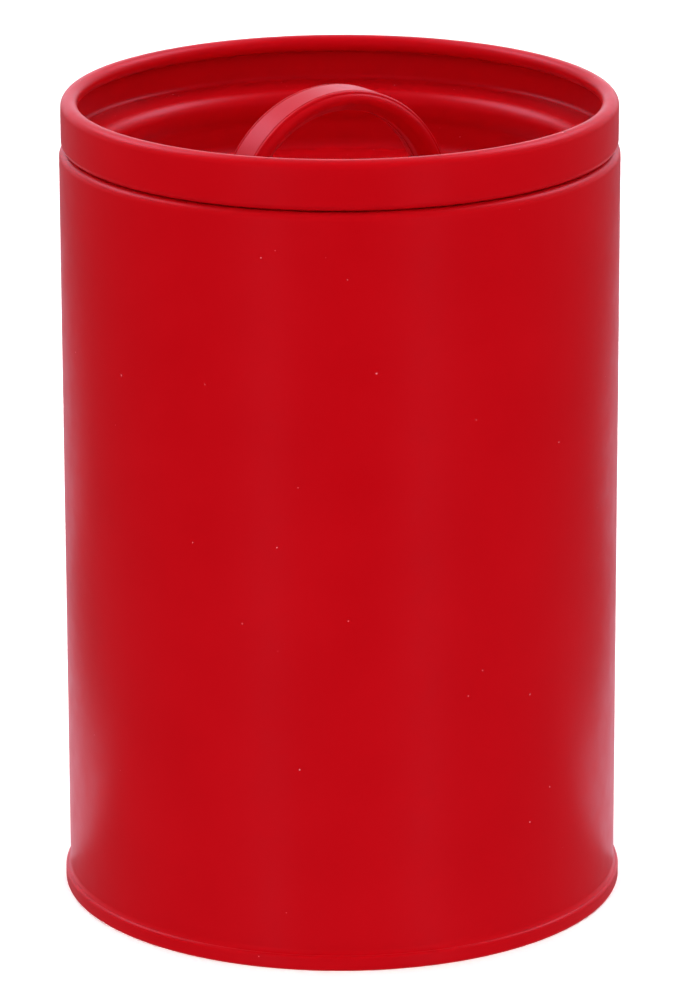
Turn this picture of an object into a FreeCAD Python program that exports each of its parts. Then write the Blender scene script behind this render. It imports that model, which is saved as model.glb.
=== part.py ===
"""Red lacquered tin canister with a lift-off plug lid.

Frame: millimetres, +Z up, origin at the centre of the base's resting plane, +X to the right and
-Y to the front. Every pressed piece is a sheet of even thickness: its section is drawn in the
half-plane of radius r and height z as a chain of straight runs and bends along the middle of the
sheet, thickened, and turned about the canister's axis.
"""
import FreeCAD, Part
import math
import os

V = FreeCAD.Vector
UP = V(0, 0, 1)

# ---------------------------------------------------------------- driving dimensions
BODY_R = 54.0              # outside of the cylinder
BODY_SHEET = 0.30
MOUTH_ROLL_R = 1.60        # outside of the rolled mouth's tube
MOUTH_ROLL_Z = 147.35      # height of that tube's centre
MOUTH_CURL = 300           # degrees that the mouth's edge is rolled through

END_SHEET = 0.28
SEAM_TOP_Z = 3.1           # top of the double seam
SEAM_SHOULDER_R = 0.74     # outside radius of the seam's sloping shoulder
SEAM_SHOULDER_TURN = 50    # degrees that the shoulder leans in before it turns down
SEAM_GAP = 0.03            # between one layer of the seam and the next
FILLET_TOP_Z = 4.2         # lacquer drawn into the corner above the seam: where it leaves the wall
FILLET_REACH = 0.42        # and how far it stands out over the seam
PANEL_Z = 3.4              # middle of the base panel's sheet, at its centre
PANEL_STEP = 1.0           # the panel's outer ring stands this much higher
PANEL_STEP_R = 43.0

LID_SHEET = 0.25
BAND_R = 53.62             # outside of the lid's upright band
RIM_ROLL_R = 1.66          # outside of the rolled rim's tube
RIM_ROLL_Z = 157.09
RIM_CURL = 302
LEDGE_TOP_Z = 149.28       # top of the ledge, where it leaves the band's inner corner
LEDGE_CORNER_R = 1.20      # inside radius of that corner
BEAD_R = 46.90             # innermost radius of the bead at the recess's upper edge
BEAD_Z = 145.78            # height of that innermost line
BEAD_UPPER_R = 2.90        # the bead's radius above that line
BEAD_LOWER_R = 6.40        # and below it
BEAD_TUCK = 25             # degrees that the bead tucks back below it
BEAD_RETURN_R = 3.70       # the hollow curve that leads back to the upright wall
FLOOR_Z = 136.65           # top of the lid's floor
FLOOR_CORNER_R = 2.00

SEAL_R = 2.45              # the sealing ring's round back
SEAL_OUTER_R = 50.50
SEAL_GROOVE_R = 0.70       # hollow between the ring's two lips

HANDLE_SHEET = 0.40
HANDLE_TURN = 32.2         # degrees from +X to the handle's span
HANDLE_SHIFT = -1.2        # the handle stands this far to -X of the lid's centre
ARCH_R = 24.3              # outside of the arch
ARCH_Z = 135.73            # height of the arch's centre
CROWN_HALF = 2.83          # half the width of the strap's flat crown
CREASE_R = 0.20            # fine groove rolled along each edge of the crown
CREASE_DEPTH = 0.16
CREASE_RUN = 0.05          # flat between the groove and the ridge outside it
SHOULDER_R = 0.50          # the ridge outside the groove
SHOULDER_TURN = 80
VALLEY_R = 0.50            # the hollow between that ridge and the side
VALLEY_TURN = 35
SIDE_R = 1.40              # the strap's bulging side
SIDE_TURN = 95
SIDE_RUN = 1.82            # straight part of the side, leading in to the underside
UNDER_R = 0.80
UNDER_TURN = 40
LIP = 1.70                 # the turned-in lip on the underside
FOOT_REACH = 6.6           # the welded foot, outward from the arch
FOOT_WIDTH = 7.0
NECK_WIDTH = 5.4           # the foot's width where it turns up into the crown
NECK_REACH = 0.4           # the neck, outward from the arch
FOOT_BEND_R = 0.9
FOOT_TIP_R = 2.0           # rounded corners of the foot's tip
FOOT_LAP = 0.4             # the foot runs this far up into the arch
WELD_R = 1.1               # the dimple that a spot weld leaves
WELD_DEPTH = 0.12
WELD_FLANK = 0.3           # width of the dimple's sloping edge
WELD_PITCH = 3.1           # between the two dimples of a foot
WELD_FROM_TIP = 2.5


# ---------------------------------------------------------------- drawing a bent sheet
class SheetLine:
    """The middle line of a bent sheet, drawn from a point and a heading in degrees from +r."""

    def __init__(self, r, z, heading):
        self.r = r
        self.z = z
        self.heading = heading
        self.pieces = []

    def run(self, length):
        """Go straight on."""
        start = (self.r, self.z)
        angle = math.radians(self.heading)
        self.r += length * math.cos(angle)
        self.z += length * math.sin(angle)
        self.pieces.append(("run", start, (self.r, self.z), self.heading))

    def run_to_r(self, r):
        self.run((r - self.r) / math.cos(math.radians(self.heading)))

    def run_to_z(self, z):
        self.run((z - self.z) / math.sin(math.radians(self.heading)))

    def bend(self, radius, turn):
        """Follow an arc of this middle radius; a positive turn is to the left."""
        side = math.copysign(90, turn)
        to_centre = math.radians(self.heading + side)
        centre = (self.r + radius * math.cos(to_centre), self.z + radius * math.sin(to_centre))
        first = self.heading - side
        self.pieces.append(("bend", centre, radius, first, turn))
        last = math.radians(first + turn)
        self.r = centre[0] + radius * math.cos(last)
        self.z = centre[1] + radius * math.sin(last)
        self.heading += turn

    def side(self, offset):
        """The line moved to its left by offset: its edges, and its first and last points."""
        edges = []
        ends = []
        for piece in self.pieces:
            if piece[0] == "run":
                _, start, end, heading = piece
                left = math.radians(heading + 90)
                shift = V(offset * math.cos(left), 0, offset * math.sin(left))
                points = [V(start[0], 0, start[1]) + shift, V(end[0], 0, end[1]) + shift]
                edges.append(Part.makeLine(*points))
            else:
                _, centre, radius, first, turn = piece
                size = radius - offset * math.copysign(1, turn)
                angles = [math.radians(first + part * turn) for part in (0, 0.5, 1)]
                points = [V(centre[0] + size * math.cos(a), 0, centre[1] + size * math.sin(a))
                          for a in angles]
                edges.append(Part.Arc(*points).toShape())
            ends += [points[0], points[-1]]
        return edges, ends[0], ends[-1]

    def face(self, sheet):
        """The sheet's section: the line thickened by half the sheet on each side."""
        left, left_start, left_end = self.side(sheet / 2)
        right, right_start, right_end = self.side(-sheet / 2)
        caps = [Part.makeLine(left_start, right_start), Part.makeLine(left_end, right_end)]
        return Part.Face(Part.Wire(Part.__sortEdges__(left + right + caps)))


def turned(face):
    """A solid of revolution about the canister's axis."""
    return face.revolve(V(0, 0, 0), UP, 360)


# ---------------------------------------------------------------- the canister
def seam_radii():
    """Middle radii of the double seam's layers outside the wall, from the inside out."""
    cover_hook = BODY_R + SEAM_GAP + END_SHEET / 2
    body_hook = cover_hook + END_SHEET / 2 + SEAM_GAP + BODY_SHEET / 2
    seaming_wall = body_hook + BODY_SHEET / 2 + SEAM_GAP + END_SHEET / 2
    return cover_hook, body_hook, seaming_wall


def make_body_shell():
    """Rolled cylinder: body hook below, curled mouth above, and a welded lap seam at the back."""
    wall = BODY_R - BODY_SHEET / 2
    _, hook, _ = seam_radii()
    hook_bend = (hook - wall) / 2
    hook_top = 2.15
    hook_bend_z = END_SHEET + SEAM_GAP + BODY_SHEET / 2 + hook_bend
    line = SheetLine(hook, hook_top, -90)
    line.run_to_z(hook_bend_z)
    line.bend(hook_bend, -180)
    line.run_to_z(MOUTH_ROLL_Z)
    line.bend(MOUTH_ROLL_R - BODY_SHEET / 2, MOUTH_CURL)
    shell = turned(line.face(BODY_SHEET))

    low = SEAM_TOP_Z + SEAM_GAP
    rise = FILLET_TOP_Z - low
    fillet_r = (FILLET_REACH ** 2 + rise ** 2) / (2 * FILLET_REACH)
    halfway = math.asin(rise / fillet_r) / 2
    middle = V(BODY_R + fillet_r * (1 - math.cos(halfway)), 0, FILLET_TOP_Z - fillet_r * math.sin(halfway))
    top = V(BODY_R, 0, FILLET_TOP_Z)
    edge = V(BODY_R + FILLET_REACH, 0, low)
    within = V(wall, 0, low)
    within_top = V(wall, 0, FILLET_TOP_Z)
    fillet = Part.Wire([Part.Arc(edge, middle, top).toShape(), Part.makeLine(top, within_top),
                        Part.makeLine(within_top, within), Part.makeLine(within, edge)])
    shell = shell.fuse(turned(Part.Face(fillet)))

    lap_width = 1.3
    lap_proud = 0.14
    lap_low = FILLET_TOP_Z + 0.1
    lap_high = MOUTH_ROLL_Z - 0.6
    inner = BODY_R - BODY_SHEET - lap_proud
    outer = BODY_R + lap_proud
    strip = Part.Face(Part.makePolygon([V(inner, 0, lap_low), V(outer, 0, lap_low), V(outer, 0, lap_high),
                                        V(inner, 0, lap_high), V(inner, 0, lap_low)]))
    lap_angle = math.degrees(lap_width / BODY_R)
    strip.rotate(V(0, 0, 0), UP, 90 - lap_angle / 2)
    lap = strip.revolve(V(0, 0, 0), UP, lap_angle)
    return shell.fuse(lap).removeSplitter()


def make_base_end():
    """Pressed base: stepped panel, chuck wall, and the outer layers of the double seam."""
    cover_hook, _, seaming_wall = seam_radii()
    chuck_wall = BODY_R - BODY_SHEET - SEAM_GAP - END_SHEET / 2
    soft_bend = 0.8
    step_slope = 35
    panel_corner = 0.9
    foot_flat = 0.2
    foot_bend = (seaming_wall - chuck_wall - foot_flat) / 2
    lean = math.radians(SEAM_SHOULDER_TURN)
    shoulder = SEAM_SHOULDER_R - END_SHEET / 2
    hook_start = seaming_wall - shoulder * (1 - math.cos(lean))
    hook_bend = (hook_start - cover_hook) / (1 + math.cos(lean))
    hook_end = 1.15

    line = SheetLine(0, PANEL_Z, 0)
    line.run_to_r(PANEL_STEP_R)
    line.bend(soft_bend, step_slope)
    bend_rise = soft_bend * (1 - math.cos(math.radians(step_slope)))
    line.run_to_z(PANEL_Z + PANEL_STEP - bend_rise)
    line.bend(soft_bend, -step_slope)
    line.run_to_r(chuck_wall - panel_corner)
    line.bend(panel_corner, -90)
    line.run_to_z(END_SHEET / 2 + foot_bend)
    line.bend(foot_bend, 90)
    line.run(foot_flat)
    line.bend(foot_bend, 90)
    line.run_to_z(SEAM_TOP_Z - END_SHEET / 2 - hook_bend * (1 - math.sin(lean)) - shoulder * math.sin(lean))
    line.bend(shoulder, SEAM_SHOULDER_TURN)
    line.bend(hook_bend, 180 - SEAM_SHOULDER_TURN)
    line.run_to_z(hook_end)
    return turned(line.face(END_SHEET))


def make_seam_compound():
    """Sealing compound: a thin ring in the body hook's bend, under the cover hook's edge."""
    inner = BODY_R + SEAM_GAP
    _, body_hook, _ = seam_radii()
    outer = body_hook - BODY_SHEET / 2 - SEAM_GAP
    low = 0.78
    high = 1.12
    ring = Part.makeCylinder(outer, high - low, V(0, 0, low))
    return ring.cut(Part.makeCylinder(inner, high - low, V(0, 0, low)))


# ---------------------------------------------------------------- the lid
def ledge_slope():
    """Slope in degrees of the straight ledge that leads from the band's corner onto the bead."""
    start_r = BAND_R - LID_SHEET - LEDGE_CORNER_R
    bead_centre_r = BEAD_R + BEAD_UPPER_R
    across = start_r - bead_centre_r
    up = LEDGE_TOP_Z - BEAD_Z
    return math.degrees(math.atan2(up, across) - math.asin(BEAD_UPPER_R / math.hypot(across, up)))


def make_lid_pan():
    """One drawn sheet: floor, plug wall, bead, ledge, band and rolled rim."""
    half = LID_SHEET / 2
    tuck = math.radians(BEAD_TUCK)
    wall_r = BEAD_R + (BEAD_LOWER_R + BEAD_RETURN_R) * (1 - math.cos(tuck)) + half
    wall_top = BEAD_Z - (BEAD_LOWER_R + BEAD_RETURN_R) * math.sin(tuck)
    slope = -ledge_slope()

    line = SheetLine(0, FLOOR_Z - half, 0)
    line.run_to_r(wall_r - FLOOR_CORNER_R - half)
    line.bend(FLOOR_CORNER_R + half, 90)
    line.run_to_z(wall_top)
    line.bend(BEAD_RETURN_R + half, BEAD_TUCK)
    line.bend(BEAD_LOWER_R - half, -BEAD_TUCK)
    line.bend(BEAD_UPPER_R - half, -90 - slope)
    corner = LEDGE_CORNER_R + half
    line.run_to_r(BAND_R - half - corner * (1 + math.sin(math.radians(slope))))
    line.bend(corner, 90 + slope)
    line.run_to_z(RIM_ROLL_Z)
    line.bend(RIM_ROLL_R - half, RIM_CURL)
    return turned(line.face(LID_SHEET))


def make_sealing_ring():
    """Soft ring behind the bead: round at the back, with two lips towards the mouth."""
    centre = (BEAD_R + BEAD_UPPER_R, BEAD_Z)
    reach = SEAL_OUTER_R - centre[0]
    half_height = math.sqrt(SEAL_R ** 2 - reach ** 2)
    top = V(SEAL_OUTER_R, 0, centre[1] + half_height)
    bottom = V(SEAL_OUTER_R, 0, centre[1] - half_height)
    back = V(centre[0] - SEAL_R, 0, centre[1])
    section = Part.Face(Part.Wire([Part.Arc(top, back, bottom).toShape(),
                                   Part.makeLine(bottom, top)]))
    hollow_wire = Part.Wire(Part.makeCircle(SEAL_GROOVE_R, V(SEAL_OUTER_R, 0, centre[1]), V(0, 1, 0)))
    section = section.cut(Part.Face(hollow_wire)).Faces[0]
    return turned(section)


def crease_half():
    """Half the width of the groove along the crown's edge, at the surface."""
    return math.sqrt(CREASE_R ** 2 - (CREASE_R - CREASE_DEPTH) ** 2)


def strap_line():
    """The strap's section, from lip to lip: r is its width, z points out of the arch."""
    half = HANDLE_SHEET / 2
    flat_half = CROWN_HALF + 2 * crease_half() + CREASE_RUN
    edge = SheetLine(flat_half, ARCH_R - half, 0)
    edge.bend(SHOULDER_R - half, -SHOULDER_TURN)
    edge.bend(VALLEY_R + half, VALLEY_TURN)
    edge.bend(SIDE_R - half, -SIDE_TURN)
    edge.run(SIDE_RUN)
    edge.bend(UNDER_R - half, -UNDER_TURN)
    edge.run(LIP)

    whole = SheetLine(-edge.r, edge.z, 180)
    whole.run(LIP)
    whole.bend(UNDER_R - half, -UNDER_TURN)
    whole.run(SIDE_RUN)
    whole.bend(SIDE_R - half, -SIDE_TURN)
    whole.bend(VALLEY_R + half, VALLEY_TURN)
    whole.bend(SHOULDER_R - half, -SHOULDER_TURN)
    whole.run(2 * flat_half)
    whole.bend(SHOULDER_R - half, -SHOULDER_TURN)
    whole.bend(VALLEY_R + half, VALLEY_TURN)
    whole.bend(SIDE_R - half, -SIDE_TURN)
    whole.run(SIDE_RUN)
    whole.bend(UNDER_R - half, -UNDER_TURN)
    whole.run(LIP)
    return whole


def make_arch():
    """The strap turned about the arch's centre line, which lies along Y, cut off at the floor."""
    section = strap_line().face(HANDLE_SHEET)
    for side in (1, -1):
        centre = V(side * (CROWN_HALF + crease_half()), 0, ARCH_R + CREASE_R - CREASE_DEPTH)
        groove = Part.makeCircle(CREASE_R, centre, V(0, 1, 0))
        section = section.cut(Part.Face(Part.Wire(groove)))
    section.rotate(V(0, 0, 0), UP, 90)
    section.rotate(V(0, 0, 0), V(0, 1, 0), -90)
    arch = section.revolve(V(0, 0, 0), V(0, 1, 0), 180)
    keep = Part.makeBox(80, 40, 40, V(-40, -20, FLOOR_Z - ARCH_Z))
    arch = arch.common(keep)
    arch.translate(V(0, 0, ARCH_Z))
    return arch


def make_foot():
    """One foot: the crown's sheet bent outward and laid flat, with a row of two weld dimples."""
    half = HANDLE_SHEET / 2
    top_z = FLOOR_Z + HANDLE_SHEET
    outer_x = math.sqrt(ARCH_R ** 2 - (FLOOR_Z - ARCH_Z) ** 2)
    tip_x = outer_x + FOOT_REACH
    line = SheetLine(tip_x, FLOOR_Z + half, 180)
    line.run_to_r(outer_x - half + FOOT_BEND_R)
    line.bend(FOOT_BEND_R, -90)
    line.run(FOOT_LAP)
    strip = line.face(HANDLE_SHEET)
    strip.translate(V(0, -FOOT_WIDTH / 2, 0))
    foot = strip.extrude(V(0, FOOT_WIDTH, 0))
    tip_corners = [edge for edge in foot.Edges
                   if edge.BoundBox.XMin > tip_x - 0.01 and edge.BoundBox.ZLength > HANDLE_SHEET / 2]
    foot = foot.makeFillet(FOOT_TIP_R, tip_corners)

    beside_neck = Part.makeBox(10 + NECK_REACH, FOOT_WIDTH, 6, V(outer_x - 10, NECK_WIDTH / 2, FLOOR_Z - 1))
    foot = foot.cut(beside_neck).cut(beside_neck.mirror(V(0, 0, 0), V(0, 1, 0)))
    for side in (1, -1):
        floor_of_dimple = V(tip_x - WELD_FROM_TIP, side * WELD_PITCH / 2, top_z - WELD_DEPTH)
        foot = foot.cut(Part.makeCone(WELD_R - WELD_FLANK, WELD_R, WELD_DEPTH, floor_of_dimple))
    return foot


def make_lid_handle():
    """The arch and its two feet, turned and set in place on the lid's floor."""
    foot = make_foot()
    other = foot.copy()
    other.rotate(V(0, 0, 0), UP, 180)
    handle = make_arch().fuse([foot, other]).removeSplitter()
    handle.rotate(V(0, 0, 0), UP, HANDLE_TURN)
    handle.translate(V(HANDLE_SHIFT, 0, 0))
    return handle


PIECES = {
    "body_shell": make_body_shell,
    "base_end": make_base_end,
    "seam_compound": make_seam_compound,
    "lid_pan": make_lid_pan,
    "sealing_ring": make_sealing_ring,
    "lid_handle": make_lid_handle,
}

os.makedirs("parts", exist_ok=True)
for name, make in PIECES.items():
    shape = make()
    if shape.ShapeType == "Compound" and len(shape.Solids) == 1:
        shape = shape.Solids[0]
    shape.exportStep("parts/" + name + ".step")
    box = shape.optimalBoundingBox()
    print(name, "solids", len(shape.Solids), "valid", shape.isValid(), "volume %.1f" % shape.Volume,
          "x %.2f..%.2f y %.2f..%.2f z %.2f..%.2f"
          % (box.XMin, box.XMax, box.YMin, box.YMax, box.ZMin, box.ZMax))
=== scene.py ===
"""Looks of a red lacquered tin canister with a lift-off plug lid.

Frame: +Z up, the canister's axis is Z, -Y is the front, and z = 0 is what it stands on. The
canister's own sizes are in millimetres, and its finished meshes and the studio are in metres. Every
pressed piece is a bent sheet. Its section is drawn in the half-plane of radius r and height z, as
runs and bends along the middle of the sheet, and turned about the axis.
"""
import bmesh
import bpy
import math
from mathutils import Matrix, Vector


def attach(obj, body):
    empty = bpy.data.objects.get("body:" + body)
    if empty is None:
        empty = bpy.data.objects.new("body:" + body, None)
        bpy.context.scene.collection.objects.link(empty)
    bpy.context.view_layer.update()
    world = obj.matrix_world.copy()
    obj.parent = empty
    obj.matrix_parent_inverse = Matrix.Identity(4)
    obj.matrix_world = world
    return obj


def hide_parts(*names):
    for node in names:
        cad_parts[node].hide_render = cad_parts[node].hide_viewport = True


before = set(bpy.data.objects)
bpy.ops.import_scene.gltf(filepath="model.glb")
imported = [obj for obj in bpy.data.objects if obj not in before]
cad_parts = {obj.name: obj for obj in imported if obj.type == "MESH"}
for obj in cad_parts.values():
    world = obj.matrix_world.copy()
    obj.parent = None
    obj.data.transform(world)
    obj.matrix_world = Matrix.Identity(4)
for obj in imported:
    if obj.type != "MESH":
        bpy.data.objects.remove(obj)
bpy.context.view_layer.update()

MM = 0.001

# ---------------------------------------------------------------- body, in millimetres and degrees
BODY_R = 54.0              # outside of the cylinder
BODY_SHEET = 0.30
MOUTH_ROLL_R = 1.60        # outside of the rolled mouth's tube
MOUTH_ROLL_Z = 147.35      # height of that tube's centre
MOUTH_CURL = 300           # how far round the mouth's edge is rolled
LAP_WIDTH = 1.3            # the welded lap up the back
LAP_PROUD = 0.14
LAP_EDGE = 0.12            # width of the slope at each side of the lap
LAP_FADE = 0.3             # length of the slope at its two ends
LAP_ABOVE_FILLET = 0.1     # the lap starts this far above the lacquer in the corner
LAP_BELOW_ROLL = 0.6       # and ends this far below the rolled mouth's centre

# ---------------------------------------------------------------- base and its seam
END_SHEET = 0.28
SEAM_TOP_Z = 3.1           # top of the double seam
SEAM_SHOULDER_R = 0.74     # outside radius of the seam's sloping shoulder
SEAM_SHOULDER_TURN = 50    # how far the shoulder leans in before it turns down
SEAM_GAP = 0.03            # between one layer of the seam and the next
FILLET_TOP_Z = 4.2         # lacquer drawn into the corner above the seam: where it leaves the wall
FILLET_REACH = 0.45        # and how far it stands out over the seam
FILLET_OVERLAP = 0.03      # it starts this far below the seam's top, and closes the seam's gap
PANEL_Z = 3.4              # middle of the base panel's sheet, at its centre
PANEL_STEP = 1.0           # the panel's outer ring stands this much higher
PANEL_STEP_R = 43.0

# ---------------------------------------------------------------- lid and seal
LID_SHEET = 0.25
BAND_R = 53.62             # outside of the lid's upright band
RIM_ROLL_R = 1.66          # outside of the rolled rim's tube
RIM_ROLL_Z = 157.09
RIM_CURL = 302
LEDGE_TOP_Z = 149.28       # top of the ledge, where it leaves the band's inner corner
LEDGE_CORNER_R = 1.20      # inside radius of that corner
BEAD_R = 46.90             # innermost radius of the bead at the recess's upper edge
BEAD_Z = 145.78            # height of that innermost line
BEAD_UPPER_R = 2.90        # the bead's radius above that line
BEAD_LOWER_R = 6.40        # and below it
BEAD_TUCK = 25             # how far the bead tucks back below it
BEAD_RETURN_R = 3.70       # the hollow curve that leads back to the upright wall
FLOOR_Z = 136.65           # top of the lid's floor
FLOOR_CORNER_R = 2.00

SEAL_R = 2.45              # the sealing ring's round back
SEAL_OUTER_R = 50.50
SEAL_GROOVE_R = 0.70       # hollow between the ring's two lips

# ---------------------------------------------------------------- handle
HANDLE_SHEET = 0.40
HANDLE_TURN = 32.2         # from +X to the handle's span
HANDLE_SHIFT = -1.2        # the handle stands this far to -X of the lid's centre
ARCH_R = 24.3              # outside of the arch
ARCH_Z = 135.73            # height of the arch's centre
CROWN_HALF = 2.83          # half the width of the strap's flat crown
CREASE_R = 0.20            # fine groove rolled along each edge of the crown
CREASE_DEPTH = 0.16
CREASE_RUN = 0.05          # flat between the groove and the ridge outside it
CREASE_HALF = math.sqrt(CREASE_R ** 2 - (CREASE_R - CREASE_DEPTH) ** 2)
SHOULDER_R = 0.50          # the ridge outside the groove
SHOULDER_TURN = 80
VALLEY_R = 0.50            # the hollow between that ridge and the side
VALLEY_TURN = 35
SIDE_R = 1.40              # the strap's bulging side
SIDE_TURN = 95
SIDE_RUN = 1.82            # straight part of the side, leading in to the underside
UNDER_R = 0.80
UNDER_TURN = 40
LIP = 1.70                 # the turned-in lip on the underside
FOOT_REACH = 6.6           # the welded foot, outward from the arch
FOOT_WIDTH = 7.0
NECK_WIDTH = 5.4           # the foot's width where it turns up into the crown
NECK_REACH = 0.4           # the neck, outward from the arch
NECK_RUN = 0.3             # length of the change from the foot's width to the neck's
FOOT_BEND_R = 0.9
FOOT_TIP_R = 2.0           # rounded corners of the foot's tip
FOOT_LAP = 0.4             # the foot runs this far up into the arch
WELD_R = 1.1               # the dimple that a spot weld leaves
WELD_DEPTH = 0.12
WELD_FLANK = 0.3           # width of the dimple's sloping edge
WELD_PITCH = 3.1           # between the two dimples of a foot
WELD_FROM_TIP = 2.5

# ---------------------------------------------------------------- how finely the meshes are cut
ARC_STEP = 6               # degrees between the points of a bend
AROUND = 360               # facets around the axis
ARCH_STEPS = 120           # facets along the arch
FOOT_STEPS = 48            # facets across a foot
MERGE_WITHIN = 0.0005      # points nearer than this are one, in millimetres
SHARP_ANGLE = 38           # an edge that turns further stays sharp

# ---------------------------------------------------------------- lacquer and rubber
# Scales of patterns are in cells per metre and depths of bumps in metres.
NOISE_RANGE = (0.3, 0.7)           # where most of a noise's values lie
PATTERN_SHIFT = (1.0, 0.7, 0.3)    # direction in which one lacquer's pattern is moved from another's
GLOSS_TINT = (1.0, 0.75, 1.0, 1)
MOTTLE_SCALE = 55
MOTTLE_COLOURS = [(0.500, 0.0016, 0.0046), (0.530, 0.0022, 0.0056)]
SATIN_SCALE = 220
SATIN_ROUGHNESS = (0.33, 0.39)
PEEL_SCALE = 1500
PEEL_STRENGTH = 0.35
PEEL_DEPTH = 0.00002
NIB_SCALE = 750
NIB_SIZES = (0.05, 0.13)           # radius of a speck of dust, as a share of its cell
NIB_COLOUR = (0.80, 0.22, 0.28, 1)
NIBS_ON_WALLS = 0.012              # share of the cells that hold a speck
NIBS_ON_FLOOR = 0.40
FACES_UP = (0.9, 1.0)              # the normal's rise at which walls give way to floors

BLOOM_SCALE = 90
BLOOM_SHADE = 0.86                 # the rubber's colour falls to this share of itself
GRAIN_SCALE = 2200
GRAIN_STRENGTH = 0.3
GRAIN_DEPTH = 0.00003

# ---------------------------------------------------------------- studio, in metres and degrees
# Brightness of the room in reflections, by direction from the front (0) to the back (1).
STUDIO_DEPTH = [(0.0, 0.015), (0.25, 0.03), (0.5, 0.11), (0.8, 0.34), (0.93, 0.85), (1.0, 1.5)]
STUDIO_FLOOR = 0.27                # reflections of the floor, as a share of those above it
STUDIO_HORIZON = (-0.15, 0.05)     # the floor gives way to the room between these heights
REFLECTED_TINT = (1.0, 0.84, 1.0)

FLOOR_HALF = 6.0
FLOOR_GREY = (0.88, 0.88, 0.88, 1)
FLOOR_LIFT = 0.3                   # the floor's own glow, which brings it up to white

SKY_LIGHT = 2.6
BOUNCE_LIGHT = 2.8
OVERHEAD_LIGHT = 0.9
OVERHEAD_WIDTH = 28
FRONT_LIGHT = 0.5
FRONT_LIGHT_WIDTH = 90
FRONT_LIGHT_HEIGHT = 25            # above the horizon

STRIP_DISTANCE = 1.3
STRIP_SIZE = (0.2, 1.4)
STRIP_POWER = 0.36
STRIP_AZIMUTHS = {"strip_left": -29, "strip_right": 34}   # from the front, towards +X

HIGH_BOX_TILT = 34                 # from straight up, to each side
HIGH_BOX_BACK = 25                 # and leaning this far to the back
HIGH_BOX_DISTANCE = 1.3
HIGH_BOX_SIZE = 0.65
HIGH_BOX_GLOW = 2.4
HIGH_BOX_SIDES = {"high_box_left": -1, "high_box_right": 1}

# Patches of bright floor in the reflections: how far back, width and depth, and strength.
FLOOR_GLOWS = {"floor_glow": (0, (0.6, 0.6), 0.02),
               "floor_glow_near": (0.09, (0.26, 0.16), 0.03),
               "floor_glow_back": (0.35, (0.5, 0.34), 0.08)}
FLOOR_GLOW_Z = -0.001

CAMERA_SENSOR = 36                 # height of the sensor, in millimetres like the lens
CAMERA_LENS = 218.6
CAMERA_PLACE = (-0.00018, -1.13644, 0.42654)
CAMERA_DOWN = 17.08                # below the horizon
CAMERA_ROLL = -0.188
CAMERA_REACH = 50


# ---------------------------------------------------------------- bent sheets
class SheetLine:
    """The middle line of a bent sheet, drawn from a point and a heading in degrees from +r."""

    def __init__(self, r, z, heading):
        self.r = r
        self.z = z
        self.heading = heading
        self.points = [(r, z, heading)]

    def _mark(self):
        self.points.append((self.r, self.z, self.heading))

    def run(self, length, steps=1):
        """Go straight on, leaving a point at the end of each step."""
        angle = math.radians(self.heading)
        for _ in range(steps):
            self.r += length / steps * math.cos(angle)
            self.z += length / steps * math.sin(angle)
            self._mark()

    def run_to_r(self, r, steps=1):
        self.run((r - self.r) / math.cos(math.radians(self.heading)), steps)

    def run_to_z(self, z, steps=1):
        self.run((z - self.z) / math.sin(math.radians(self.heading)), steps)

    def bend(self, radius, turn, step=ARC_STEP):
        """Follow an arc of this middle radius; a positive turn is to the left."""
        side = math.copysign(90, turn)
        to_centre = math.radians(self.heading + side)
        centre_r = self.r + radius * math.cos(to_centre)
        centre_z = self.z + radius * math.sin(to_centre)
        start = self.heading
        count = max(2, math.ceil(abs(turn) / step))
        for i in range(1, count + 1):
            self.heading = start + turn * i / count
            angle = math.radians(self.heading - side)
            self.r = centre_r + radius * math.cos(angle)
            self.z = centre_z + radius * math.sin(angle)
            self._mark()

    def side(self, offset):
        """The line's points, moved to its left by offset."""
        return [(r + offset * math.cos(math.radians(heading + 90)),
                 z + offset * math.sin(math.radians(heading + 90)))
                for r, z, heading in self.points]

    def outline(self, sheet):
        """The sheet's section as one closed loop of points."""
        return self.side(sheet / 2) + self.side(-sheet / 2)[::-1]


def arc(centre, radius, start, turn, steps):
    """Points of an arc, from the start angle through the turn, both in degrees."""
    angles = [math.radians(start + turn * i / steps) for i in range(steps + 1)]
    return [(centre[0] + radius * math.cos(angle), centre[1] + radius * math.sin(angle))
            for angle in angles]


# ---------------------------------------------------------------- meshes
def finish_mesh(bm, name):
    """Turns a bmesh in millimetres into an object in metres, smooth except at sharp edges."""
    bmesh.ops.remove_doubles(bm, verts=bm.verts, dist=MERGE_WITHIN)
    bmesh.ops.recalc_face_normals(bm, faces=bm.faces)
    bmesh.ops.scale(bm, vec=(MM, MM, MM), verts=bm.verts)
    limit = math.radians(SHARP_ANGLE)
    for face in bm.faces:
        face.smooth = True
    for edge in bm.edges:
        edge.smooth = len(edge.link_faces) == 2 and edge.calc_face_angle() < limit
    mesh = bpy.data.meshes.new(name)
    bm.to_mesh(mesh)
    bm.free()
    obj = bpy.data.objects.new(name, mesh)
    bpy.context.scene.collection.objects.link(obj)
    return obj


def loft(bm, rings, closed_rings, closed_ends=False):
    """Faces between each ring of vertices and the next; the rings may also join end to end."""
    count = len(rings)
    for i in range(count if closed_ends else count - 1):
        a = rings[i]
        b = rings[(i + 1) % count]
        size = len(a)
        for j in range(size if closed_rings else size - 1):
            k = (j + 1) % size
            corners = []
            for vertex in (a[j], a[k], b[k], b[j]):
                if vertex not in corners:
                    corners.append(vertex)
            if len(corners) > 2:
                bm.faces.new(corners)


def even_azimuths():
    return [360 * i / AROUND for i in range(AROUND)]


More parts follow.
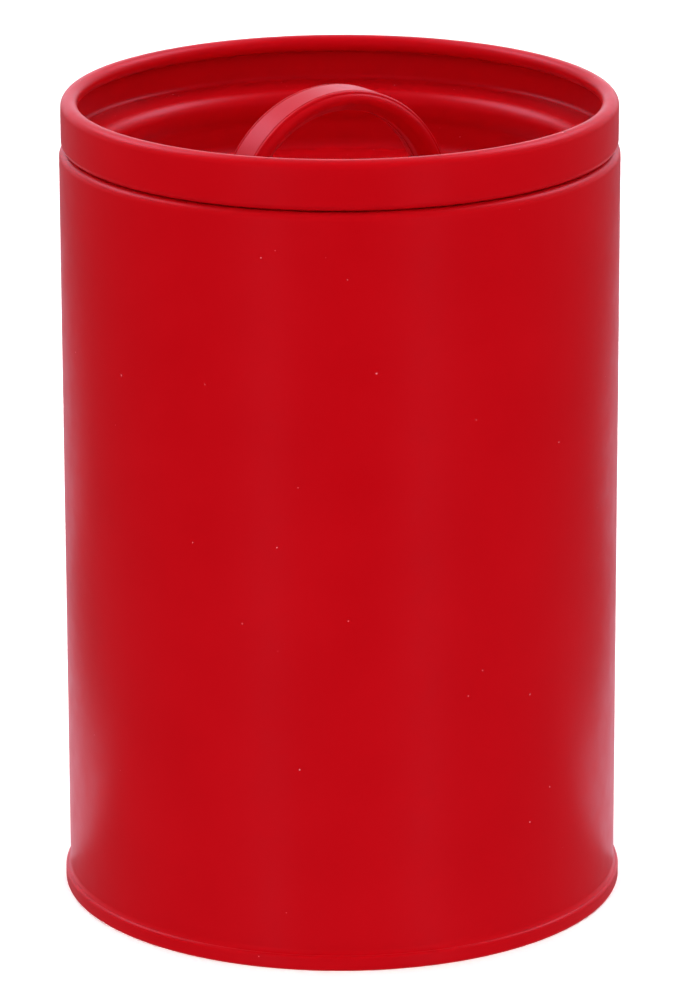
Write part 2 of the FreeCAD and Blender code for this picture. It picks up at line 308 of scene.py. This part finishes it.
def lathe(name, outline, azimuths, move=None):
    """The outline turned about the axis. A point on the axis is one shared vertex.

    Where move is given, it takes each point's azimuth, r and z, and returns its r and z.
    """
    bm = bmesh.new()
    rings = []
    on_axis = {i: bm.verts.new((0, 0, z)) for i, (r, z) in enumerate(outline) if abs(r) < 1e-6}
    for azimuth in azimuths:
        ring = []
        for i, (r, z) in enumerate(outline):
            if i in on_axis:
                ring.append(on_axis[i])
                continue
            if move:
                r, z = move(azimuth, r, z)
            angle = math.radians(azimuth)
            ring.append(bm.verts.new((r * math.cos(angle), r * math.sin(angle), z)))
        rings.append(ring)
    loft(bm, rings, closed_rings=not on_axis, closed_ends=True)
    return finish_mesh(bm, name)


def smooth(x):
    """0 below 0, 1 above 1, and a smooth step between."""
    x = min(1, max(0, x))
    return x * x * (3 - 2 * x)


# ---------------------------------------------------------------- the canister
def seam_radii():
    """Middle radii of the double seam's layers outside the wall, from the inside out."""
    cover_hook = BODY_R + SEAM_GAP + END_SHEET / 2
    body_hook = cover_hook + END_SHEET / 2 + SEAM_GAP + BODY_SHEET / 2
    seaming_wall = body_hook + BODY_SHEET / 2 + SEAM_GAP + END_SHEET / 2
    return cover_hook, body_hook, seaming_wall


def make_body_shell():
    """Rolled cylinder with a curled mouth and a body hook.

    The welded lap stands proud at the back, and lacquer fills the corner above the base's seam.
    """
    wall = BODY_R - BODY_SHEET / 2
    _, hook, _ = seam_radii()
    hook_bend = (hook - wall) / 2
    hook_top = 2.15
    fillet_low = SEAM_TOP_Z - FILLET_OVERLAP
    fillet_rise = FILLET_TOP_Z - fillet_low
    fillet_r = (FILLET_REACH ** 2 + fillet_rise ** 2) / (2 * FILLET_REACH)
    fillet_edge = 0.002    # height over which the lacquer starts, nearly a sharp step
    lap_low = FILLET_TOP_Z + LAP_ABOVE_FILLET
    lap_high = MOUTH_ROLL_Z - LAP_BELOW_ROLL

    line = SheetLine(hook, hook_top, -90)
    line.run_to_z(END_SHEET + SEAM_GAP + BODY_SHEET / 2 + hook_bend)
    line.bend(hook_bend, -180)
    line.run_to_z(fillet_low)
    line.run(fillet_edge)
    line.run_to_z(FILLET_TOP_Z, steps=16)
    line.run_to_z(lap_low)
    line.run_to_z(lap_low + LAP_FADE)
    line.run_to_z(lap_high - LAP_FADE, steps=24)
    line.run_to_z(lap_high)
    line.run_to_z(MOUTH_ROLL_Z)
    line.bend(MOUTH_ROLL_R - BODY_SHEET / 2, MOUTH_CURL)

    back = 90
    lap_half = math.degrees(LAP_WIDTH / 2 / BODY_R)
    lap_edge = math.degrees(LAP_EDGE / BODY_R)
    lap_azimuths = [back + side * (lap_half - inset)
                    for side in (-1, 1) for inset in (lap_edge, lap_edge / 2, 0)]

    def stand_proud(azimuth, r, z):
        """Moves the wall's points out to the lacquer in the corner and to the lap."""
        if abs(r - wall) > BODY_SHEET:
            return r, z
        if r > wall and fillet_low + fillet_edge / 2 < z < FILLET_TOP_Z:
            return r + fillet_r - math.sqrt(fillet_r ** 2 - (FILLET_TOP_Z - z) ** 2), z
        along = min(smooth((z - lap_low) / LAP_FADE), smooth((lap_high - z) / LAP_FADE))
        across = smooth((lap_half - abs(azimuth - back)) / lap_edge)
        return r + math.copysign(LAP_PROUD, r - wall) * along * across, z

    azimuths = sorted(set(even_azimuths() + lap_azimuths))
    return lathe("canister_body", line.outline(BODY_SHEET), azimuths, stand_proud)


def make_base_end():
    """Pressed base with its stepped panel and the outer layers of the double seam."""
    cover_hook, _, seaming_wall = seam_radii()
    chuck_wall = BODY_R - BODY_SHEET - SEAM_GAP - END_SHEET / 2
    soft_bend = 0.8
    step_slope = 35
    panel_corner = 0.9
    foot_flat = 0.2
    foot_bend = (seaming_wall - chuck_wall - foot_flat) / 2
    lean = math.radians(SEAM_SHOULDER_TURN)
    shoulder = SEAM_SHOULDER_R - END_SHEET / 2
    hook_start = seaming_wall - shoulder * (1 - math.cos(lean))
    hook_bend = (hook_start - cover_hook) / (1 + math.cos(lean))
    hook_end = 1.15
    seam_rise = hook_bend * (1 - math.sin(lean)) + shoulder * math.sin(lean)
    step_rise = soft_bend * (1 - math.cos(math.radians(step_slope)))

    line = SheetLine(0, PANEL_Z, 0)
    line.run_to_r(PANEL_STEP_R, steps=12)
    line.bend(soft_bend, step_slope)
    line.run_to_z(PANEL_Z + PANEL_STEP - step_rise)
    line.bend(soft_bend, -step_slope)
    line.run_to_r(chuck_wall - panel_corner, steps=3)
    line.bend(panel_corner, -90)
    line.run_to_z(END_SHEET / 2 + foot_bend)
    line.bend(foot_bend, 90)
    line.run(foot_flat)
    line.bend(foot_bend, 90)
    line.run_to_z(SEAM_TOP_Z - END_SHEET / 2 - seam_rise)
    line.bend(shoulder, SEAM_SHOULDER_TURN)
    line.bend(hook_bend, 180 - SEAM_SHOULDER_TURN)
    line.run_to_z(hook_end)
    return lathe("canister_base", line.outline(END_SHEET), even_azimuths())


# ---------------------------------------------------------------- the lid
def ledge_slope():
    """Slope in degrees of the straight ledge that leads from the band's corner onto the bead."""
    start_r = BAND_R - LID_SHEET - LEDGE_CORNER_R
    across = start_r - (BEAD_R + BEAD_UPPER_R)
    up = LEDGE_TOP_Z - BEAD_Z
    return math.degrees(math.atan2(up, across) - math.asin(BEAD_UPPER_R / math.hypot(across, up)))


def make_lid_pan():
    """One drawn sheet: floor, plug wall, bead, ledge, band and rolled rim."""
    half = LID_SHEET / 2
    tuck = math.radians(BEAD_TUCK)
    wall_r = BEAD_R + (BEAD_LOWER_R + BEAD_RETURN_R) * (1 - math.cos(tuck)) + half
    wall_top = BEAD_Z - (BEAD_LOWER_R + BEAD_RETURN_R) * math.sin(tuck)
    slope = -ledge_slope()
    corner = LEDGE_CORNER_R + half

    line = SheetLine(0, FLOOR_Z - half, 0)
    line.run_to_r(wall_r - FLOOR_CORNER_R - half, steps=16)
    line.bend(FLOOR_CORNER_R + half, 90)
    line.run_to_z(wall_top, steps=3)
    line.bend(BEAD_RETURN_R + half, BEAD_TUCK, step=3)
    line.bend(BEAD_LOWER_R - half, -BEAD_TUCK, step=2)
    line.bend(BEAD_UPPER_R - half, -90 - slope, step=4)
    line.run_to_r(BAND_R - half - corner * (1 + math.sin(math.radians(slope))), steps=2)
    line.bend(corner, 90 + slope)
    line.run_to_z(RIM_ROLL_Z, steps=4)
    line.bend(RIM_ROLL_R - half, RIM_CURL, step=5)
    return lathe("lid_pan_drawn", line.outline(LID_SHEET), even_azimuths())


def make_sealing_ring():
    """Soft ring behind the bead: round at the back, with two lips towards the mouth."""
    centre_r = BEAD_R + BEAD_UPPER_R
    open_half = math.degrees(math.acos((SEAL_OUTER_R - centre_r) / SEAL_R))
    round_back = arc((centre_r, BEAD_Z), SEAL_R, open_half, 360 - 2 * open_half, steps=60)
    groove = arc((SEAL_OUTER_R, BEAD_Z), SEAL_GROOVE_R, 270, -180, steps=20)
    return lathe("lid_seal_ring", round_back + groove, even_azimuths())


def strap_outline():
    """The handle strap's section as (across, outward), from one lip round to the other.

    Each half is the same chain of bends and runs, once towards the crown and once away from it.
    """
    half = HANDLE_SHEET / 2
    away = [(SheetLine.bend, SHOULDER_R - half, -SHOULDER_TURN),
            (SheetLine.bend, VALLEY_R + half, VALLEY_TURN),
            (SheetLine.bend, SIDE_R - half, -SIDE_TURN),
            (SheetLine.run, SIDE_RUN, 3),
            (SheetLine.bend, UNDER_R - half, -UNDER_TURN),
            (SheetLine.run, LIP, 3)]
    crown = [(SheetLine.run, CREASE_RUN, 1),
             (SheetLine.run, 2 * CREASE_HALF, 10),
             (SheetLine.run, 2 * CROWN_HALF, 8),
             (SheetLine.run, 2 * CREASE_HALF, 10),
             (SheetLine.run, CREASE_RUN, 1)]

    def follow(line, moves):
        for move, size, detail in moves:
            move(line, size, detail)
        return line

    flat_half = CROWN_HALF + 2 * CREASE_HALF + CREASE_RUN
    lip_end = follow(SheetLine(flat_half, ARCH_R - half, 0), away)
    line = follow(SheetLine(-lip_end.r, lip_end.z, 180), away[::-1] + crown + away)

    def crease(across, outward):
        """Rolls the fine groove in along each edge of the crown."""
        from_middle = abs(abs(across) - CROWN_HALF - CREASE_HALF)
        if from_middle < CREASE_HALF and outward > ARCH_R - CREASE_DEPTH:
            outward -= math.sqrt(CREASE_R ** 2 - from_middle ** 2) - (CREASE_R - CREASE_DEPTH)
        return across, outward

    return [crease(*point) for point in line.side(half)] + line.side(-half)[::-1]


def make_arch():
    """The strap swept through half a turn and cut off flat where it meets the lid's floor."""
    overshoot = 4
    outline = strap_outline()
    bm = bmesh.new()
    rings = []
    for i in range(ARCH_STEPS + 1):
        angle = math.radians(-overshoot + (180 + 2 * overshoot) * i / ARCH_STEPS)
        rings.append([bm.verts.new((outward * math.cos(angle), across,
                                    ARCH_Z + outward * math.sin(angle)))
                      for across, outward in outline])
    loft(bm, rings, closed_rings=True)
    bm.faces.new(rings[0])
    bm.faces.new(rings[-1])
    cut = bmesh.ops.bisect_plane(bm, geom=bm.verts[:] + bm.edges[:] + bm.faces[:], dist=1e-5,
                                 plane_co=(0, 0, FLOOR_Z), plane_no=(0, 0, 1), clear_inner=True)
    rim = [item for item in cut["geom_cut"] if isinstance(item, bmesh.types.BMEdge)]
    bmesh.ops.contextual_create(bm, geom=rim)
    return finish_mesh(bm, "handle_arch")


def make_foot(name, turn):
    """One foot: a rounded tab flat on the floor, bent up into the arch, with two weld dimples."""
    half = HANDLE_SHEET / 2
    outer_x = math.sqrt(ARCH_R ** 2 - (FLOOR_Z - ARCH_Z) ** 2)
    tip_x = outer_x + FOOT_REACH
    line = SheetLine(tip_x, FLOOR_Z + half, 180)
    line.run(FOOT_TIP_R, steps=10)
    line.run_to_r(outer_x - half + FOOT_BEND_R, steps=40)
    line.bend(FOOT_BEND_R, -90)
    line.run(FOOT_LAP)
    welds = [(tip_x - WELD_FROM_TIP, side * WELD_PITCH / 2) for side in (1, -1)]
    shares = [2 * i / FOOT_STEPS - 1 for i in range(FOOT_STEPS + 1)]

    def half_width(x):
        """Rounded at the tip, and narrower than the crown where the foot turns up."""
        from_tip = tip_x - x
        width = FOOT_WIDTH / 2
        if from_tip < FOOT_TIP_R:
            width -= FOOT_TIP_R - math.sqrt(FOOT_TIP_R ** 2 - (FOOT_TIP_R - from_tip) ** 2)
        narrowing = smooth((outer_x + NECK_REACH - x) / NECK_RUN + 0.5)
        return width + (NECK_WIDTH / 2 - width) * narrowing

    def dimple(x, y):
        depth = 0
        for weld_x, weld_y in welds:
            near = math.hypot(x - weld_x, y - weld_y)
            depth += WELD_DEPTH * smooth((WELD_R - near) / WELD_FLANK)
        return depth

    bm = bmesh.new()
    rings = []
    for (under_x, under_z), (over_x, over_z) in zip(line.side(half), line.side(-half)):
        width = half_width(over_x)
        top = [(over_x, share * width, over_z - dimple(over_x, share * width)) for share in shares]
        bottom = [(under_x, share * width, under_z) for share in reversed(shares)]
        rings.append([bm.verts.new(point) for point in top + bottom])
    loft(bm, rings, closed_rings=True)
    bm.faces.new(rings[0])
    bm.faces.new(rings[-1])
    bmesh.ops.rotate(bm, cent=(0, 0, 0), matrix=Matrix.Rotation(math.radians(turn), 3, "Z"),
                     verts=bm.verts)
    return finish_mesh(bm, name)


def joined(target, others):
    """The union of closed meshes, as one closed mesh in target."""
    for other in others:
        union = target.modifiers.new("union", "BOOLEAN")
        union.operation = "UNION"
        union.solver = "EXACT"
        union.object = other
    depsgraph = bpy.context.evaluated_depsgraph_get()
    mesh = bpy.data.meshes.new_from_object(target.evaluated_get(depsgraph))
    target.modifiers.clear()
    target.data = mesh
    for other in others:
        bpy.data.objects.remove(other)
    return target


def make_lid_handle():
    """The arch and its two feet in one piece, turned and set in place on the lid's floor."""
    handle = joined(make_arch(), [make_foot("foot_right", 0), make_foot("foot_left", 180)])
    handle.name = "lid_handle_strap"
    turn = Matrix.Rotation(math.radians(HANDLE_TURN), 4, "Z")
    handle.data.transform(Matrix.Translation((HANDLE_SHIFT * MM, 0, 0)) @ turn)
    return handle


# ---------------------------------------------------------------- materials
class Shading:
    """The nodes of a material or of the world, with short ways to add the ones used here."""

    def __init__(self, owner):
        owner.use_nodes = True
        self.nodes = owner.node_tree.nodes
        self.links = owner.node_tree.links

    def fill(self, node, inputs):
        """Links each input that is given another node's output, and sets the others."""
        for name, value in inputs.items():
            if isinstance(value, bpy.types.NodeSocket):
                self.links.new(value, node.inputs[name])
            else:
                node.inputs[name].default_value = value

    def add(self, kind, inputs):
        node = self.nodes.new(kind)
        self.fill(node, inputs)
        return node

    def noise(self, place, scale, detail):
        node = self.add("ShaderNodeTexNoise", {"Vector": place, "Scale": scale, "Detail": detail})
        return node.outputs["Fac"]

    def ramp(self, source, stops):
        """The source turned into colours, blended between stops of (position, colour)."""
        node = self.add("ShaderNodeValToRGB", {"Fac": source})
        elements = node.color_ramp.elements
        while len(elements) < len(stops):
            elements.new(0.5)
        for element, (position, colour) in zip(elements, stops):
            element.position = position
            element.color = (*colour, 1)
        return node.outputs["Color"]

    def scaled(self, source, low, high, bottom=0.0, top=1.0, kind="LINEAR"):
        """The source's range from low to high, spread over bottom to top."""
        node = self.nodes.new("ShaderNodeMapRange")
        node.interpolation_type = kind
        self.fill(node, {"Value": source, "From Min": low, "From Max": high, "To Min": bottom,
                         "To Max": top})
        return node.outputs["Result"]

    def combined(self, operation, a, b):
        node = self.nodes.new("ShaderNodeMath")
        node.operation = operation
        self.links.new(a, node.inputs[0])
        self.links.new(b, node.inputs[1])
        return node.outputs["Value"]

    def mix(self, kind, share, a, b):
        node = self.nodes.new("ShaderNodeMix")
        node.data_type = kind
        self.fill(node, {"Factor": share, "A": a, "B": b})
        return node.outputs["Result"]

    def bump(self, height, strength, depth):
        node = self.add("ShaderNodeBump", {"Height": height, "Strength": strength, "Distance": depth})
        return node.outputs["Normal"]


def dust_nibs(look, place):
    """1 on the specks of dust caught in the lacquer and 0 between, with most where it faces up."""
    cells = look.add("ShaderNodeTexVoronoi", {"Vector": place, "Scale": NIB_SCALE})
    draw = look.add("ShaderNodeSeparateColor", {"Color": cells.outputs["Color"]})
    normal = look.add("ShaderNodeNewGeometry", {}).outputs["Normal"]
    rise = look.add("ShaderNodeSeparateXYZ", {"Vector": normal}).outputs["Z"]
    share = look.scaled(rise, *FACES_UP, NIBS_ON_WALLS, NIBS_ON_FLOOR)
    chosen = look.combined("LESS_THAN", draw.outputs["Red"], share)
    size = look.scaled(draw.outputs["Green"], 0, 1, *NIB_SIZES)
    speck = look.combined("LESS_THAN", cells.outputs["Distance"], size)
    return look.combined("MULTIPLY", speck, chosen)


def lacquer(name, shift):
    """Satin red stoving lacquer: slight mottling, fine orange peel and a few dust nibs."""
    material = bpy.data.materials.new(name)
    look = Shading(material)
    where = look.add("ShaderNodeTexCoord", {}).outputs["Object"]
    offset = [shift * part for part in PATTERN_SHIFT]
    moved = look.add("ShaderNodeMapping", {"Vector": where, "Location": offset})
    place = moved.outputs["Vector"]
    stops = list(zip(NOISE_RANGE, MOTTLE_COLOURS))
    mottle = look.ramp(look.noise(place, MOTTLE_SCALE, detail=5), stops)
    satin = look.scaled(look.noise(place, SATIN_SCALE, detail=3), *NOISE_RANGE, *SATIN_ROUGHNESS)
    peel = look.bump(look.noise(place, PEEL_SCALE, detail=2), PEEL_STRENGTH, PEEL_DEPTH)
    look.fill(look.nodes["Principled BSDF"], {
        "Base Color": look.mix("RGBA", dust_nibs(look, place), mottle, NIB_COLOUR),
        "Roughness": satin,
        "Normal": peel,
        "IOR": 1.5,
        "Specular Tint": GLOSS_TINT})
    return material


def plain_rubber(name, colour, roughness):
    """Matt rubber with a faint bloom and a fine grain."""
    material = bpy.data.materials.new(name)
    look = Shading(material)
    place = look.add("ShaderNodeTexCoord", {}).outputs["Object"]
    shaded = [part * BLOOM_SHADE for part in colour]
    bloom = look.mix("RGBA", look.noise(place, BLOOM_SCALE, detail=4), (*colour, 1), (*shaded, 1))
    grain = look.bump(look.noise(place, GRAIN_SCALE, detail=2), GRAIN_STRENGTH, GRAIN_DEPTH)
    look.fill(look.nodes["Principled BSDF"], {
        "Base Color": bloom,
        "Roughness": roughness,
        "Normal": grain})
    return material


# ---------------------------------------------------------------- stage, light and camera
def make_floor():
    """A plain pale floor, wide enough to reach the picture's edges in every view."""
    corners = [(x * FLOOR_HALF, y * FLOOR_HALF, 0) for x, y in ((-1, -1), (1, -1), (1, 1), (-1, 1))]
    mesh = bpy.data.meshes.new("studio_floor")
    mesh.from_pydata(corners, [], [(0, 1, 2, 3)])
    floor = bpy.data.objects.new("studio_floor", mesh)
    bpy.context.scene.collection.objects.link(floor)
    material = bpy.data.materials.new("floor_pale")
    look = Shading(material)
    look.fill(look.nodes["Principled BSDF"], {
        "Base Color": FLOOR_GREY,
        "Roughness": 0.9,
        "Specular IOR Level": 0,
        "Emission Color": (1, 1, 1, 1),
        "Emission Strength": FLOOR_LIFT})
    mesh.materials.append(material)
    floor.visible_diffuse = False
    floor.visible_glossy = False
    floor.visible_shadow = False


def make_studio():
    """What glossy reflections see: dark in front, bright behind, and a dimmer floor below."""
    world = bpy.data.worlds.new("studio")
    bpy.context.scene.world = world
    look = Shading(world)
    where = look.add("ShaderNodeTexCoord", {}).outputs["Generated"]
    direction = look.add("ShaderNodeSeparateXYZ", {"Vector": where}).outputs
    greys = [(position, (value, value, value)) for position, value in STUDIO_DEPTH]
    depth = look.ramp(look.scaled(direction["Y"], -1, 1), greys)
    height = look.scaled(direction["Z"], *STUDIO_HORIZON, STUDIO_FLOOR, 1, "SMOOTHSTEP")
    tint = look.nodes.new("ShaderNodeVectorMath")
    tint.operation = "SCALE"
    look.fill(tint, {"Vector": REFLECTED_TINT, "Scale": look.combined("MULTIPLY", depth, height)})
    backdrop = look.add("ShaderNodeLightPath", {}).outputs["Is Camera Ray"]
    shown = look.mix("VECTOR", backdrop, tint.outputs["Vector"], (1, 1, 1))
    look.fill(look.nodes["Background"], {"Color": shown})


def add_matt_light(name, tilt, width, strength):
    """A soft sun for the matt part of every surface. What shows in gloss is the studio.

    Its tilt is from straight above towards the front, and its width is how broad it looks.
    """
    data = bpy.data.lights.new(name, "SUN")
    data.angle = math.radians(width)
    data.energy = strength
    data.cycles.use_multiple_importance_sampling = False
    light = bpy.data.objects.new(name, data)
    light.rotation_euler = (math.radians(tilt), 0, 0)
    light.visible_glossy = False
    bpy.context.scene.collection.objects.link(light)


def add_reflected_light(name, place, aim, size, power):
    """An area light that shows only in glossy reflections."""
    data = bpy.data.lights.new(name, "AREA")
    data.shape = "RECTANGLE"
    data.size, data.size_y = size
    data.energy = power
    data.color = REFLECTED_TINT
    light = bpy.data.objects.new(name, data)
    light.location = place
    light.rotation_euler = (Vector(aim) - Vector(place)).to_track_quat("-Z", "Y").to_euler()
    light.visible_camera = False
    light.visible_diffuse = False
    bpy.context.scene.collection.objects.link(light)


def add_strip(name, azimuth):
    """A tall strip box at the front, seen in the lacquer as a soft upright sheen."""
    angle = math.radians(azimuth)
    place = (STRIP_DISTANCE * math.sin(angle), -STRIP_DISTANCE * math.cos(angle), 0)
    add_reflected_light(name, place, (0, 0, 0), STRIP_SIZE, STRIP_POWER)


def add_high_box(name, side):
    """A soft box high up at one side, seen in the gloss of the bead, the ledge and the rim."""
    place = Vector((0, 0, HIGH_BOX_DISTANCE))
    place.rotate(Matrix.Rotation(math.radians(side * HIGH_BOX_TILT), 3, "Y"))
    place.rotate(Matrix.Rotation(math.radians(-HIGH_BOX_BACK), 3, "X"))
    power = HIGH_BOX_GLOW * math.pi * HIGH_BOX_SIZE ** 2
    add_reflected_light(name, place, (0, 0, 0), (HIGH_BOX_SIZE, HIGH_BOX_SIZE), power)


def light_the_canister():
    """Soft light from above, below and in front for the matt part, then the lights in the gloss."""
    add_matt_light("sky_light", 0, 180, SKY_LIGHT)
    add_matt_light("floor_bounce", 180, 180, BOUNCE_LIGHT)
    add_matt_light("overhead", 0, OVERHEAD_WIDTH, OVERHEAD_LIGHT)
    add_matt_light("front_light", 90 - FRONT_LIGHT_HEIGHT, FRONT_LIGHT_WIDTH, FRONT_LIGHT)
    for name, side in HIGH_BOX_SIDES.items():
        add_high_box(name, side)
    for name, azimuth in STRIP_AZIMUTHS.items():
        add_strip(name, azimuth)
    for name, (back, size, strength) in FLOOR_GLOWS.items():
        add_reflected_light(name, (0, back, FLOOR_GLOW_Z), (0, back, 1), size, math.pi * strength)


def add_camera():
    """The camera stands a little over a metre away and looks down on the canister."""
    data = bpy.data.cameras.new("camera")
    data.sensor_fit = "VERTICAL"
    data.sensor_height = CAMERA_SENSOR
    data.lens = CAMERA_LENS
    data.clip_end = CAMERA_REACH
    camera = bpy.data.objects.new("camera", data)
    camera.matrix_world = (Matrix.Translation(CAMERA_PLACE)
                           @ Matrix.Rotation(math.radians(90 - CAMERA_DOWN), 4, "X")
                           @ Matrix.Rotation(math.radians(CAMERA_ROLL), 4, "Z"))
    bpy.context.scene.collection.objects.link(camera)
    bpy.context.scene.camera = camera


# ---------------------------------------------------------------- putting it together
def dress(piece, body, node, material):
    """The piece stands for its CAD node and moves with the node's body."""
    piece.data.materials.clear()
    piece.data.materials.append(material)
    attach(piece, body)
    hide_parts(node)


body_red = lacquer("lacquer_body", 0.0)
lid_red = lacquer("lacquer_lid", 3.1)
seal_white = plain_rubber("seal_silicone", (0.75, 0.74, 0.70), roughness=0.55)
compound_grey = plain_rubber("seam_compound_grey", (0.35, 0.35, 0.34), roughness=0.7)

dress(make_body_shell(), "canister", "body_shell", body_red)
dress(make_base_end(), "canister", "base_end", body_red)
dress(make_lid_pan(), "lid", "lid_pan", lid_red)
dress(make_lid_handle(), "lid", "lid_handle", lid_red)
dress(make_sealing_ring(), "seal", "sealing_ring", seal_white)

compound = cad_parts["seam_compound"]
compound.data.materials.clear()
compound.data.materials.append(compound_grey)

make_floor()
make_studio()
light_the_canister()
add_camera()
bpy.context.scene.view_settings.view_transform = "Standard"
